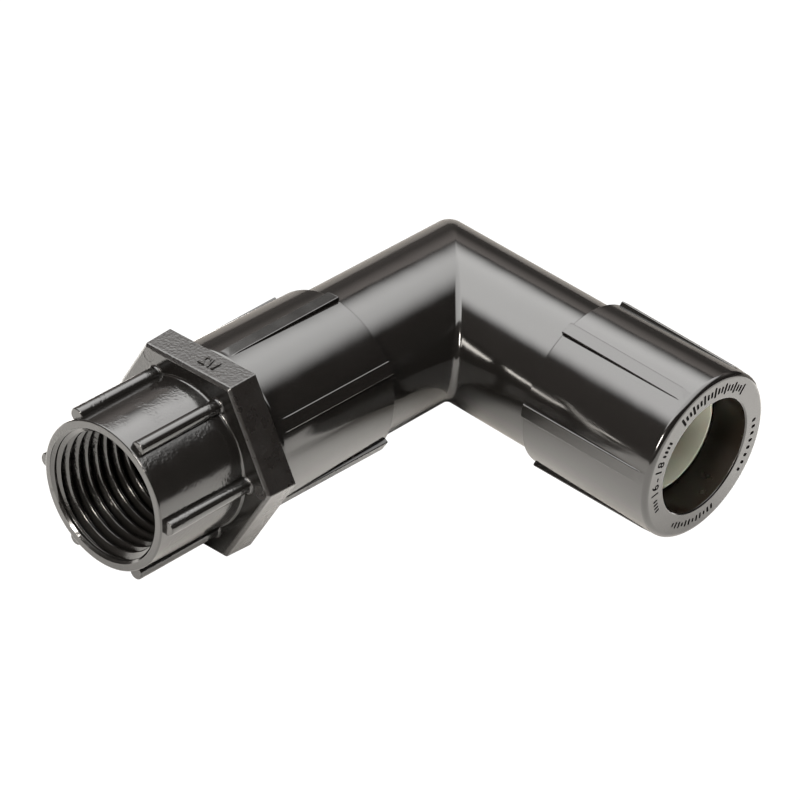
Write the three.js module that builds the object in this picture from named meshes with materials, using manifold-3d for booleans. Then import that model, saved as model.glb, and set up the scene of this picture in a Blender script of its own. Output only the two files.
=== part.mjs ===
// Ninety-degree elbow for drip tubing: a plain mitred body with a push-fit socket in each leg.
// One socket takes the tube. The other holds a swivelling adapter with a half-inch female pipe thread.
//
// Millimetres, +Z up. Each leg is drawn along its own +Y, with s the distance from the corner where the
// two leg axes cross, and is then turned to lie along +X (the tube leg) or -Y (the adapter leg).
// The origin of the whole is under the middle of its bounding box, at the height of its lowest point.
import * as THREE from "three";
import { mergeVertices } from "three/addons/utils/BufferGeometryUtils.js";
import Module from "manifold-3d";

const wasm = await Module();
wasm.setup();

// ---- Driving dimensions ----------------------------------------------------------------------------

const SEGMENTS = 48; // facets round every turned surface

// Elbow body
const LEG_RADIUS = 12.0;
const PASSAGE_RADIUS = 7.2; // water way through the corner
const STOP_S = 25.0; // ledge that the tube end butts against
const SOCKET_RADIUS = 9.2; // clears an 18 mm tube
const SEAL_SEAT_S = 29.5;
const SEAL_SEAT_RADIUS = 10.2;
const BODY_END_S = 33.6;

// Collar, welded over the end of each leg
const COLLAR_START_S = 26.1;
const COLLAR_FACE_S = 49.7;
const COLLAR_START_RADIUS = 13.0;
const COLLAR_END_RADIUS = 13.3;
const COLLAR_SLEEVE_RADIUS = 12.15; // inside, over the leg
const COLLAR_EDGE = 0.84; // rounding between the side and the face
const CHAMBER_RADIUS = 11.0; // room for the grip ring
const SHOULDER_S = 43.75; // inner end of the mouth's bore, which keeps the ring in
const SHOULDER_CONE = 1.15; // length of the cone that wedges the ring shut
const MOUTH_RADIUS = 9.25;
const MOUTH_CHAMFER = 0.3;
const FIT_GAP = 0.3; // between pieces that meet end to end

// Ribs on the outside of each collar
const RIB_COUNT = 6;
const COLLAR_RIB_WIDTH = 2.1;
const COLLAR_RIB_RADIUS = 13.65; // top of the rib at the collar's inner end
const COLLAR_RIB_ROOT = 12.6;
const COLLAR_RIB_END_S = 48.6; // here the rib has sunk into the tapered side
const TUBE_RIB_ANGLE = 53; // degrees round the leg to the first rib
const ADAPTER_RIB_ANGLE = 31.6;

// Grip ring
const RING_FRONT_S = SHOULDER_S - FIT_GAP;
const RING_BACK_S = 35.3;
const RING_RADIUS = 10.7;
const RING_LIP_RADIUS = 9.5; // outside of the narrow front lip
const RING_CONE = 1.15;
const RING_FUNNEL_RADIUS = 9.1; // inside, at the front lip
const RING_THROAT_RADIUS = 8.3; // inside, where the funnel ends
const RING_THROAT_S = 39.9;
const TOOTH_COUNT = 3;
const TOOTH_PITCH = 1.4;
const TOOTH_ROOT_RADIUS = 8.9;
const TOOTH_TIP_CLOSED = 7.8; // at rest, smaller than a 16 mm tube
const TOOTH_TIP_OPEN = 8.15; // sprung open round the adapter's spigot
const SLIT_COUNT = 6;
const SLIT_WIDTH = 0.8;
const SLIT_END_S = 39.6; // the slits run from the back of the ring to here

// Seal, a lipped rubber ring in the seat at the end of the body
const SEAL_RADIUS = 10.05;
const SEAL_LENGTH = 3.05;
const SEAL_LIP_RADIUS = 8.25;

// Threaded adapter
const ADAPTER_TURN = 3.6; // degrees; the adapter swivels freely and rests a little off square
const SPIGOT_END_S = 26.4;
const SPIGOT_RADIUS = 8.0; // like a 16 mm tube
const SPIGOT_CHAMFER = 0.5;
const BEAD_RADIUS = 8.5; // catches behind the grip ring
const BEAD_S = 34.2;
const BEAD_WIDTH = 0.5;
const JOURNAL_RADIUS = 9.05; // turns in the collar's mouth
const JOURNAL_S = 44.6;
const ADAPTER_BORE_RADIUS = 6.2;
const HEX_START_S = 50.6;
const HEX_END_S = 55.85;
const HEX_ACROSS_FLATS = 28.86;
const NOSE_START_RADIUS = 11.6;
const NOSE_END_RADIUS = 11.46;
const NOSE_EDGE = 0.3;
const MOUTH_S = 72.15;
const NOSE_RIB_RADIUS = 1.15; // half-round ribs
const NOSE_RIB_CENTRE = 11.85; // distance of a rib's centre line from the leg's axis
const NOSE_RIB_SETBACK = 0.7; // from the mouth
const NOSE_RIB_FACETS = 12;

// Female pipe thread, drawn as rings of the true pitch, depth and taper
const THREAD_PITCH = 25.4 / 14;
const THREAD_TURNS = 8;
const THREAD_MAJOR_RADIUS = 10.5; // at the mouth
const THREAD_DEPTH = 1.15;
const THREAD_TAPER = 1 / 32; // fall in radius for each millimetre of depth
const THREAD_MOUTH_RADIUS = 10.3;
const THREAD_RUNOUT = 1.6; // length of the cone between the thread and the bore

// ---- Materials -------------------------------------------------------------------------------------

const blackPlastic = new THREE.MeshStandardMaterial({ color: 0x1c1a18, roughness: 0.28, metalness: 0 });
const grainPlastic = new THREE.MeshStandardMaterial({ color: 0x201e1c, roughness: 0.4, metalness: 0 });
const paleAcetal = new THREE.MeshStandardMaterial({ color: 0xb6c0b2, roughness: 0.5, metalness: 0 });
const sealRubber = new THREE.MeshStandardMaterial({ color: 0x2a2a2c, roughness: 0.8, metalness: 0 });

// ---- Solids ----------------------------------------------------------------------------------------

/** Closed three.js geometry to a solid, with its faces turned out. */
function toSolid(geometry) {
  const bare = geometry.index ? geometry.toNonIndexed() : geometry.clone();
  bare.deleteAttribute("normal");
  bare.deleteAttribute("uv");
  const merged = mergeVertices(bare, 1e-4);
  const corners = merged.index.array;
  const triangles = [];
  for (let i = 0; i < corners.length; i += 3) {
    const [a, b, c] = [corners[i], corners[i + 1], corners[i + 2]];
    if (a !== b && b !== c && c !== a) triangles.push(a, b, c);
  }
  const vertProperties = new Float32Array(merged.attributes.position.array);
  const build = (triVerts) => new wasm.Manifold(new wasm.Mesh({ numProp: 3, vertProperties, triVerts }));
  const solid = build(new Uint32Array(triangles));
  return solid.volume() > 0 ? solid : build(new Uint32Array(triangles.reverse()));
}

/** Solid back to a geometry for a mesh. */
function toGeometry(solid) {
  const mesh = solid.getMesh();
  const geometry = new THREE.BufferGeometry();
  geometry.setAttribute("position", new THREE.BufferAttribute(new Float32Array(mesh.vertProperties), 3));
  geometry.setIndex(new THREE.BufferAttribute(new Uint32Array(mesh.triVerts), 1));
  geometry.computeVertexNormals();
  return geometry;
}

/** Turned geometry: a closed outline of [radius, s] points swept round the leg's axis. */
function turnedGeometry(outline) {
  const points = [...outline, outline[0]].map(([radius, s]) => new THREE.Vector2(radius, s));
  return new THREE.LatheGeometry(points, SEGMENTS);
}

/** Turned solid of a closed outline. */
function turned(outline) {
  return toSolid(turnedGeometry(outline));
}

/** Turns a piece drawn at the top of the leg (+Z) to an angle round the leg's axis, in degrees. */
function atAngle(geometry, degrees) {
  return geometry.rotateY(THREE.MathUtils.degToRad(degrees - 90));
}

// ---- Elbow body ------------------------------------------------------------------------------------

/** Folds a straight turned geometry at s = 0: s above 0 goes along +X, below 0 along -Y. */
function foldAtCorner(geometry) {
  const position = geometry.attributes.position;
  for (let i = 0; i < position.count; i++) {
    const [x, s, z] = [position.getX(i), position.getY(i), position.getZ(i)];
    if (s > 0) position.setXYZ(i, s, -x, z);
    else if (s < 0) position.setXYZ(i, x, s, z);
    else position.setXYZ(i, x, -x, z); // on the mitre plane
  }
  return geometry;
}

/** Mitred body: two legs, the water way through the corner, and a stepped socket in each leg. */
function makeElbowBody() {
  const socketSteps = [
    [LEG_RADIUS, BODY_END_S], [SEAL_SEAT_RADIUS, BODY_END_S], [SEAL_SEAT_RADIUS, SEAL_SEAT_S],
    [SOCKET_RADIUS, SEAL_SEAT_S], [SOCKET_RADIUS, STOP_S], [PASSAGE_RADIUS, STOP_S],
  ];
  const otherLeg = socketSteps.map(([radius, s]) => [radius, -s]).reverse();
  const outline = [[LEG_RADIUS, 0], ...socketSteps, [PASSAGE_RADIUS, 0], ...otherLeg];
  return toSolid(foldAtCorner(turnedGeometry(outline)));
}

// ---- Collar ----------------------------------------------------------------------------------------

/** One flat-topped rib along the collar, which sinks into the tapered side towards the face. */
function collarRib(degrees) {
  const side = new THREE.Shape([
    new THREE.Vector2(COLLAR_START_S, COLLAR_RIB_ROOT),
    new THREE.Vector2(COLLAR_RIB_END_S, COLLAR_RIB_ROOT),
    new THREE.Vector2(COLLAR_RIB_END_S, COLLAR_END_RADIUS),
    new THREE.Vector2(COLLAR_START_S, COLLAR_RIB_RADIUS),
  ]);
  const rib = new THREE.ExtrudeGeometry(side, { depth: COLLAR_RIB_WIDTH, bevelEnabled: false });
  rib.translate(0, 0, -COLLAR_RIB_WIDTH / 2);
  rib.rotateX(Math.PI / 2).rotateZ(Math.PI / 2); // s along +Y, height along +Z
  return toSolid(atAngle(rib, degrees));
}

/** Ribbed collar with the mouth, the shoulder and the chamber of the grip ring inside it. */
function makeCollar(firstRibAngle) {
  const roundedEdge = [0, 30, 60, 90].map((degrees) => {
    const angle = THREE.MathUtils.degToRad(degrees);
    return [
      COLLAR_END_RADIUS - COLLAR_EDGE * (1 - Math.cos(angle)),
      COLLAR_FACE_S - COLLAR_EDGE * (1 - Math.sin(angle)),
    ];
  });
  let collar = turned([
    [COLLAR_SLEEVE_RADIUS, COLLAR_START_S], [COLLAR_START_RADIUS, COLLAR_START_S], ...roundedEdge,
    [MOUTH_RADIUS + MOUTH_CHAMFER, COLLAR_FACE_S], [MOUTH_RADIUS, COLLAR_FACE_S - MOUTH_CHAMFER],
    [MOUTH_RADIUS, SHOULDER_S], [CHAMBER_RADIUS, SHOULDER_S - SHOULDER_CONE],
    [CHAMBER_RADIUS, BODY_END_S + FIT_GAP], [COLLAR_SLEEVE_RADIUS, BODY_END_S + FIT_GAP],
  ]);
  for (let rib = 0; rib < RIB_COUNT; rib++) {
    collar = collar.add(collarRib(firstRibAngle + (rib * 360) / RIB_COUNT));
  }
  return collar;
}

// ---- Grip ring and seal ----------------------------------------------------------------------------

/** Inside of the ring's funnel: a quarter wave from the front lip down to the throat. */
function funnelPoints() {
  const steps = 4;
  const points = [];
  for (let step = 0; step <= steps; step++) {
    const share = step / steps;
    const fall = Math.sin((share * Math.PI) / 2);
    points.push([
      RING_FUNNEL_RADIUS - (RING_FUNNEL_RADIUS - RING_THROAT_RADIUS) * fall,
      RING_FRONT_S - (RING_FRONT_S - RING_THROAT_S) * share,
    ]);
  }
  return points;
}

/** Saw teeth that let the tube slide in and bite when it is pulled out. */
function toothPoints(tipRadius) {
  const points = [];
  for (let tooth = 0; tooth < TOOTH_COUNT; tooth++) {
    const mouthward = RING_THROAT_S - 0.3 - tooth * TOOTH_PITCH;
    points.push([TOOTH_ROOT_RADIUS, mouthward], [tipRadius, mouthward - TOOTH_PITCH + 0.2]);
  }
  return points;
}

/** Grip ring: funnel, teeth, a coned front, and slits from the back that let it spring. */
function makeGripRing(tipRadius) {
  const backEdge = 0.5;
  let ring = turned([
    [RING_LIP_RADIUS, RING_FRONT_S], ...funnelPoints(), ...toothPoints(tipRadius),
    [TOOTH_ROOT_RADIUS, RING_BACK_S], [RING_RADIUS - backEdge, RING_BACK_S],
    [RING_RADIUS, RING_BACK_S + backEdge], [RING_RADIUS, RING_FRONT_S - RING_CONE],
  ]);
  const slitLength = SLIT_END_S - RING_BACK_S + 1;
  for (let slit = 0; slit < SLIT_COUNT; slit++) {
    const cutter = new THREE.BoxGeometry(SLIT_WIDTH, slitLength, RING_RADIUS);
    cutter.translate(0, SLIT_END_S - slitLength / 2, RING_RADIUS / 2 + TOOTH_TIP_CLOSED / 2);
    ring = ring.subtract(toSolid(atAngle(cutter, (slit * 360) / SLIT_COUNT)));
  }
  return ring;
}

/** Lipped rubber seal. */
function makeSeal() {
  const startS = SEAL_SEAT_S + FIT_GAP;
  const lipS = startS + 0.45 * SEAL_LENGTH;
  return turned([
    [SEAL_RADIUS, startS], [SEAL_RADIUS, startS + SEAL_LENGTH], [SEAL_LIP_RADIUS + 1, startS + SEAL_LENGTH],
    [SEAL_LIP_RADIUS, lipS + 0.6], [SEAL_LIP_RADIUS, lipS], [SEAL_LIP_RADIUS + 0.7, startS],
  ]);
}

// ---- Threaded adapter ------------------------------------------------------------------------------

/** Female thread from the mouth inwards, as [radius, s] points. */
function threadPoints() {
  const points = [[THREAD_MOUTH_RADIUS, MOUTH_S]];
  for (let turn = 0; turn < THREAD_TURNS; turn++) {
    const crestDepth = 0.6 + turn * THREAD_PITCH;
    const rootDepth = crestDepth + THREAD_PITCH / 2;
    points.push([THREAD_MAJOR_RADIUS - THREAD_DEPTH - crestDepth * THREAD_TAPER, MOUTH_S - crestDepth]);
    points.push([THREAD_MAJOR_RADIUS - rootDepth * THREAD_TAPER, MOUTH_S - rootDepth]);
  }
  const endDepth = 0.6 + THREAD_TURNS * THREAD_PITCH;
  points.push([THREAD_MAJOR_RADIUS - THREAD_DEPTH - endDepth * THREAD_TAPER, MOUTH_S - endDepth]);
  points.push([ADAPTER_BORE_RADIUS, MOUTH_S - endDepth - THREAD_RUNOUT]);
  return points;
}

/** Half-round rib along the nose, drawn as a whole rod sunk into it. */
function noseRib(degrees) {
  const length = MOUTH_S - NOSE_RIB_SETBACK - HEX_END_S + 1;
  const rib = new THREE.CylinderGeometry(NOSE_RIB_RADIUS, NOSE_RIB_RADIUS, length, NOSE_RIB_FACETS);
  rib.translate(0, MOUTH_S - NOSE_RIB_SETBACK - length / 2, NOSE_RIB_CENTRE);
  return toSolid(atAngle(rib, degrees));
}

/** Adapter: spigot with its bead, journal, hexagon, ribbed nose and female thread, in one moulding. */
function makeAdapter() {
  const hexThickness = HEX_END_S - HEX_START_S;
  const hexCorner = HEX_ACROSS_FLATS / 2 / Math.cos(Math.PI / 6);
  const hex = new THREE.CylinderGeometry(hexCorner, hexCorner, hexThickness, RIB_COUNT);
  hex.translate(0, HEX_START_S + hexThickness / 2, 0);
  let outside = turned([
    [0, SPIGOT_END_S], [SPIGOT_RADIUS - SPIGOT_CHAMFER, SPIGOT_END_S],
    [SPIGOT_RADIUS, SPIGOT_END_S + SPIGOT_CHAMFER], [SPIGOT_RADIUS, BEAD_S - BEAD_WIDTH / 2],
    [BEAD_RADIUS, BEAD_S], [BEAD_RADIUS, BEAD_S + BEAD_WIDTH], [SPIGOT_RADIUS, BEAD_S + BEAD_WIDTH],
    [SPIGOT_RADIUS, JOURNAL_S - 1], [JOURNAL_RADIUS, JOURNAL_S], [JOURNAL_RADIUS, HEX_START_S],
    [NOSE_START_RADIUS, HEX_START_S], [NOSE_START_RADIUS, HEX_END_S],
    [NOSE_END_RADIUS, MOUTH_S - NOSE_EDGE], [NOSE_END_RADIUS - NOSE_EDGE, MOUTH_S], [0, MOUTH_S],
  ]);
  outside = outside.add(toSolid(atAngle(hex, 0)));
  for (let rib = 0; rib < RIB_COUNT; rib++) {
    outside = outside.add(noseRib((rib * 360) / RIB_COUNT));
  }
  const bore = turned([
    [0, MOUTH_S + 1], [THREAD_MOUTH_RADIUS, MOUTH_S + 1], ...threadPoints(),
    [ADAPTER_BORE_RADIUS, SPIGOT_END_S - 1], [0, SPIGOT_END_S - 1],
  ]);
  return outside.subtract(bore);
}

// ---- Assembly --------------------------------------------------------------------------------------

/** Named mesh of one solid. */
function piece(name, solid, material) {
  const mesh = new THREE.Mesh(toGeometry(solid), material);
  mesh.name = name;
  return mesh;
}

const tubeLeg = new THREE.Group();
tubeLeg.rotation.z = -Math.PI / 2; // +Y of the leg to +X
tubeLeg.add(
  piece("tube_end_collar", makeCollar(TUBE_RIB_ANGLE), blackPlastic),
  piece("tube_end_grip_ring", makeGripRing(TOOTH_TIP_CLOSED), paleAcetal),
  piece("tube_end_seal", makeSeal(), sealRubber),
);

const adapter = piece("threaded_adapter", makeAdapter(), grainPlastic);
adapter.rotation.y = THREE.MathUtils.degToRad(ADAPTER_TURN);

const adapterLeg = new THREE.Group();
adapterLeg.rotation.z = Math.PI; // +Y of the leg to -Y
adapterLeg.add(
  piece("adapter_end_collar", makeCollar(ADAPTER_RIB_ANGLE), blackPlastic),
  piece("adapter_end_grip_ring", makeGripRing(TOOTH_TIP_OPEN), paleAcetal),
  piece("adapter_end_seal", makeSeal(), sealRubber),
  adapter,
);

const fitting = new THREE.Group();
fitting.add(piece("elbow_body", makeElbowBody(), blackPlastic), tubeLeg, adapterLeg);

// The origin goes under the middle of the whole, at the height of its lowest point.
const extent = new THREE.Box3().setFromObject(fitting, true);
const middle = extent.getCenter(new THREE.Vector3());
fitting.position.set(-middle.x, -middle.y, -extent.min.z);

export default fitting;
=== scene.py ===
"""Ninety-degree push-fit elbow for drip tubing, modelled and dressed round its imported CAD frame.

One leg takes the tube. The other holds a swivelling adapter with a half-inch female pipe thread.
Pieces are drawn in millimetres and then placed, in metres, at the corner where the two leg axes cross.
A leg piece is drawn along +Z, with s the distance from that corner.
"""

import logging
import math
from contextlib import contextmanager
from dataclasses import dataclass
from enum import Enum
from typing import Callable, Iterator, Sequence

import bmesh
import bpy
from mathutils import Matrix, Vector


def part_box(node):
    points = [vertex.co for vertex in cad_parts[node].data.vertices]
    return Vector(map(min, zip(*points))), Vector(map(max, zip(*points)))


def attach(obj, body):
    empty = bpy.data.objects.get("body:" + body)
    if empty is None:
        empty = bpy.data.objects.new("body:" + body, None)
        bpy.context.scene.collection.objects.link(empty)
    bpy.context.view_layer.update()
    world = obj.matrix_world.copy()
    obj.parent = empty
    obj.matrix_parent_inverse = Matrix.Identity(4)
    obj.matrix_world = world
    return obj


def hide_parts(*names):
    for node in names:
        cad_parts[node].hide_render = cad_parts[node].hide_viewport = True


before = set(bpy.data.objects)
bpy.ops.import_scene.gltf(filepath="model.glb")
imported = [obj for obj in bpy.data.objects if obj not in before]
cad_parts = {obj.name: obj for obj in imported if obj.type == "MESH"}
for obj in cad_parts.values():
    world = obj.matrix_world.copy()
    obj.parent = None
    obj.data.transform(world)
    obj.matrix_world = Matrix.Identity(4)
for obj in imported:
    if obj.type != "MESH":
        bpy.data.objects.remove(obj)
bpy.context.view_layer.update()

logging.basicConfig(level=logging.INFO, format="%(message)s")
log = logging.getLogger("elbow")

MM = 0.001  # metres in a millimetre
FULL_TURN = 2 * math.pi
FACETS = 192  # round a turned surface that shows
HIDDEN_FACETS = 96
WELD = 0.0005  # mm; points closer than this are one
SMOOTH_ANGLE = math.radians(32)
SINK = 0.01  # mm that a part reaches into its neighbour, so that no two faces coincide
FONT_SIZE = 1.35  # font size that gives figures one unit high
HEX_SIDES = 6
RIB_COUNT = 6


class Body(Enum):
    """Bodies of the frame that pieces ride on."""

    ELBOW = "elbow"
    TUBE_RING = "tube_ring"
    ADAPTER_RING = "adapter_ring"
    ADAPTER = "adapter"


class Slot(Enum):
    """Material slots of the record."""

    BODY = "moulded_body"
    COLLAR = "moulded_collar"
    ADAPTER = "moulded_adapter"
    RING = "grip_ring"
    SEAL = "seal"


class Join(Enum):
    """Ways of combining two solids."""

    ADD = "UNION"
    CUT = "DIFFERENCE"


# ---- Modelling helpers -------------------------------------------------------------------------------


def select_only(*pieces: bpy.types.Object) -> None:
    """Selects these objects and nothing else, and makes the first one active.

    Args:
        pieces: The objects.
    """
    bpy.ops.object.select_all(action="DESELECT")
    for piece in pieces:
        piece.select_set(True)
    bpy.context.view_layer.objects.active = pieces[0]


@contextmanager
def edit_mode(piece: bpy.types.Object) -> Iterator[None]:
    """Opens a piece in edit mode with nothing selected, and leaves edit mode at the end.

    Args:
        piece: The mesh object to open.
    """
    select_only(piece)
    bpy.ops.object.mode_set(mode="EDIT")
    bpy.ops.mesh.select_mode(type="VERT")
    bpy.ops.mesh.select_all(action="DESELECT")
    try:
        yield
    finally:
        bpy.ops.object.mode_set(mode="OBJECT")


def select_edges(piece: bpy.types.Object, test: Callable[[Vector, Vector], bool]) -> None:
    """Selects, in edit mode, just the edges whose two end points pass a test.

    Args:
        piece: The mesh object in edit mode.
        test: Says whether an edge between two points is wanted.
    """
    bpy.ops.mesh.select_mode(type="EDGE")
    bpy.ops.mesh.select_all(action="DESELECT")
    mesh = bmesh.from_edit_mesh(piece.data)
    wanted = [edge for edge in mesh.edges if test(edge.verts[0].co, edge.verts[1].co)]
    for edge in wanted:
        edge.select_set(True)
    bmesh.update_edit_mesh(piece.data)


def select_faces(piece: bpy.types.Object, test: Callable[[Vector, Vector], bool]) -> None:
    """Selects, in edit mode, just the faces whose centre and normal pass a test.

    Args:
        piece: The mesh object in edit mode.
        test: Says whether a face with this centre and normal is wanted.
    """
    bpy.ops.mesh.select_mode(type="FACE")
    bpy.ops.mesh.select_all(action="DESELECT")
    mesh = bmesh.from_edit_mesh(piece.data)
    wanted = [face for face in mesh.faces if test(face.calc_center_median(), face.normal)]
    for face in wanted:
        face.select_set(True)
    bmesh.update_edit_mesh(piece.data)


def weld() -> None:
    """Merges doubled points and turns all faces outwards, in edit mode."""
    bpy.ops.mesh.select_all(action="SELECT")
    bpy.ops.mesh.remove_doubles(threshold=WELD)
    bpy.ops.mesh.normals_make_consistent(inside=False)


def rounded(corners: Sequence[tuple[float, float, float]], step: float = 12.0) -> list[tuple[float, float]]:
    """Closed outline with an arc at each corner that has a radius.

    Args:
        corners: (radius from the axis, s, corner radius) in mm, in order round the outline.
        step: Largest turn between two points of an arc, in degrees.

    Returns:
        The outline's (radius, s) points.
    """
    points = []
    for index, (x, y, radius) in enumerate(corners):
        corner = Vector((x, y))
        before = (Vector(corners[index - 1][:2]) - corner).normalized()
        after = (Vector(corners[(index + 1) % len(corners)][:2]) - corner).normalized()
        if radius <= 0:
            points.append((x, y))
            continue
        half = before.angle(after) / 2
        centre = corner + (before + after).normalized() * radius / math.sin(half)
        start = corner + before * radius / math.tan(half) - centre
        turn = start.angle_signed(corner + after * radius / math.tan(half) - centre)
        count = max(2, math.ceil(abs(math.degrees(turn)) / step))
        for number in range(count + 1):
            arm = start.copy()
            arm.rotate(Matrix.Rotation(-turn * number / count, 2))
            points.append(tuple(centre + arm))
    return points


def drawn(name: str, outline: Sequence[tuple[float, float]]) -> bpy.types.Object:
    """Chain of edges in the plane through the Z axis: a point is extruded from place to place.

    Args:
        name: The new object's name.
        outline: (radius, s) points in mm.

    Returns:
        The mesh object.
    """
    bpy.ops.object.select_all(action="DESELECT")
    bpy.ops.mesh.primitive_plane_add(size=1.0)
    piece = bpy.context.object
    piece.name = name
    here = outline[0]
    with edit_mode(piece):
        bpy.ops.mesh.select_all(action="SELECT")
        bpy.ops.mesh.merge(type="CENTER")
        bpy.ops.transform.translate(value=(here[0], 0, here[1]))
        for there in outline[1:]:
            step = (there[0] - here[0], 0, there[1] - here[1])
            bpy.ops.mesh.extrude_region_move(TRANSFORM_OT_translate={"value": step})
            here = there
    return piece


def turned(name: str, outline: Sequence[tuple[float, float]], facets: int = FACETS) -> bpy.types.Object:
    """Turned solid: a closed outline is spun round the Z axis.

    Args:
        name: The new object's name.
        outline: (radius, s) points in mm.
        facets: Steps round the axis.

    Returns:
        The closed mesh object.
    """
    piece = drawn(name, [*outline, outline[0]])
    with edit_mode(piece):
        bpy.ops.mesh.select_all(action="SELECT")
        bpy.ops.mesh.spin(steps=facets, angle=FULL_TURN, center=(0, 0, 0), axis=(0, 0, 1))
        weld()
    return piece


def block(name: str, low: Sequence[float], high: Sequence[float]) -> bpy.types.Object:
    """Box, as a start for a piece that is shaped further.

    Args:
        name: The new object's name.
        low: Its lowest corner in mm.
        high: Its highest corner in mm.

    Returns:
        The mesh object.
    """
    bpy.ops.object.select_all(action="DESELECT")
    middle = (Vector(low) + Vector(high)) / 2
    bpy.ops.mesh.primitive_cube_add(size=1.0, location=middle, scale=Vector(high) - Vector(low))
    piece = bpy.context.object
    piece.name = name
    settle(piece)
    return piece


def figures(signs: str, height: float, depth: float, bolder: float) -> bpy.types.Object:
    """Solid figures, centred on the origin and facing along +Z.

    Args:
        signs: The characters.
        height: Height of a figure in mm.
        depth: How far they reach to each side of the XY plane.
        bolder: How much is added all round the strokes.

    Returns:
        The mesh object.
    """
    bpy.ops.object.select_all(action="DESELECT")
    bpy.ops.object.text_add()
    text = bpy.context.object
    text.data.body = signs
    text.data.align_x = "CENTER"
    text.data.align_y = "CENTER"
    text.data.size = height * FONT_SIZE
    text.data.extrude = depth
    text.data.offset = bolder
    text.data.resolution_u = 4
    bpy.ops.object.convert(target="MESH")
    return bpy.context.object


def settle(piece: bpy.types.Object) -> None:
    """Moves an object's place, turn and size into its mesh."""
    select_only(piece)
    bpy.ops.object.transform_apply(location=True, rotation=True, scale=True)


def turn_about_leg(piece: bpy.types.Object, degrees: float) -> None:
    """Turns a piece about the Z axis and keeps the turn in its mesh."""
    piece.rotation_euler = (0, 0, math.radians(degrees))
    settle(piece)


def copies_round(piece: bpy.types.Object, angles: Sequence[float]) -> bpy.types.Object:
    """Copies of a piece at several angles round the Z axis, joined as one object.

    Args:
        piece: The piece at angle 0. It is used up.
        angles: Degrees round the axis.

    Returns:
        The joined object.
    """
    made = []
    for angle in angles:
        copy = piece.copy()
        copy.data = piece.data.copy()
        bpy.context.collection.objects.link(copy)
        turn_about_leg(copy, angle)
        made.append(copy)
    bpy.data.objects.remove(piece)
    return joined(made)


def joined(pieces: Sequence[bpy.types.Object]) -> bpy.types.Object:
    """Joins objects that don't touch into one.

    Args:
        pieces: The objects. All but the first are used up.

    Returns:
        The first object.
    """
    select_only(*pieces)
    if len(pieces) > 1:
        bpy.ops.object.join()
    return bpy.context.object


def combine(piece: bpy.types.Object, other: bpy.types.Object, how: Join) -> None:
    """Adds another solid to a piece or cuts it away. The other solid is used up.

    Args:
        piece: The solid that is kept.
        other: The solid that is added or cut away.
        how: Which of the two is done.
    """
    apply_modifier(piece, "BOOLEAN", operation=how.value, solver="EXACT", object=other,
                   material_mode="TRANSFER")
    bpy.data.objects.remove(other)


def apply_modifier(piece: bpy.types.Object, kind: str, **settings: object) -> None:
    """Adds a modifier with its settings and applies it.

    Args:
        piece: The mesh object.
        kind: The modifier's type name.
        settings: Its properties by name.
    """
    select_only(piece)
    modifier = piece.modifiers.new(kind.lower(), kind)
    for key, value in settings.items():
        setattr(modifier, key, value)
    bpy.ops.object.modifier_apply(modifier=modifier.name)


def smooth(piece: bpy.types.Object) -> None:
    """Smooth shading that keeps the real edges, with flats and cylinders shaded true beside small arcs.

    Args:
        piece: The piece, still in millimetres, because in metres its faces are too small to be weighed.
    """
    select_only(piece)
    bpy.ops.object.shade_smooth_by_angle(angle=SMOOTH_ANGLE)
    apply_modifier(piece, "WEIGHTED_NORMAL", mode="FACE_AREA", weight=100, keep_sharp=True)


# ---- Where the legs lie ------------------------------------------------------------------------------


@dataclass(frozen=True)
class Leg:
    """Direction of a leg. A piece drawn along +Z goes along the leg, with its +X at angle 0 round it."""

    zero: Vector  # direction of angle 0
    along: Vector

    def place(self, piece: bpy.types.Object, corner: Vector) -> None:
        """Moves a piece drawn in millimetres along +Z to its place on the leg, in metres.

        Args:
            piece: The mesh object.
            corner: Where the leg axes cross, in metres.
        """
        side = self.along.cross(self.zero)
        turn = Matrix((self.zero, side, self.along)).transposed().to_4x4()
        piece.matrix_world = Matrix.Translation(corner) @ turn @ Matrix.Scale(MM, 4)
        settle(piece)


TUBE_LEG = Leg(zero=Vector((0, 1, 0)), along=Vector((1, 0, 0)))
ADAPTER_LEG = Leg(zero=Vector((1, 0, 0)), along=Vector((0, -1, 0)))


def find_corner(leg_radius: float) -> Vector:
    """Point where the two leg axes cross, in metres, from the body's box in the frame.

    Args:
        leg_radius: Outer radius of a leg in mm.

    Returns:
        The point in the frame's coordinates.
    """
    low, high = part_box("elbow_body")
    return Vector((low.x + leg_radius * MM, high.y - leg_radius * MM, (low.z + high.z) / 2))


# ---- Finishes ----------------------------------------------------------------------------------------


def linear(colour: str) -> tuple[float, float, float, float]:
    """Linear RGBA of an sRGB hex colour.

    Args:
        colour: Six hex digits after a hash sign.

    Returns:
        Red, green, blue and alpha for a shader socket.
    """
    channels = [int(colour[start:start + 2], 16) / 255 for start in (1, 3, 5)]
    light = [c / 12.92 if c <= 0.04045 else ((c + 0.055) / 1.055) ** 2.4 for c in channels]
    return (*light, 1.0)


def add_node(tree: bpy.types.NodeTree, kind: str, settings: dict[str | int, object] | None = None,
             links: dict[str | int, bpy.types.NodeSocket] | None = None) -> bpy.types.Node:
    """Adds a node with its settings and links.

    Args:
        tree: The node tree.
        kind: The node's type name.
        settings: Properties by attribute name, and constant inputs by socket name or number.
        links: Output sockets by the name or number of the input that they feed.

    Returns:
        The new node.
    """
    node = tree.nodes.new(kind)
    for key, value in (settings or {}).items():
        if isinstance(key, int) or key in node.inputs:
            node.inputs[key].default_value = value
        else:
            setattr(node, key, value)
    for key, socket in (links or {}).items():
        tree.links.new(socket, node.inputs[key])
    return node


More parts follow.
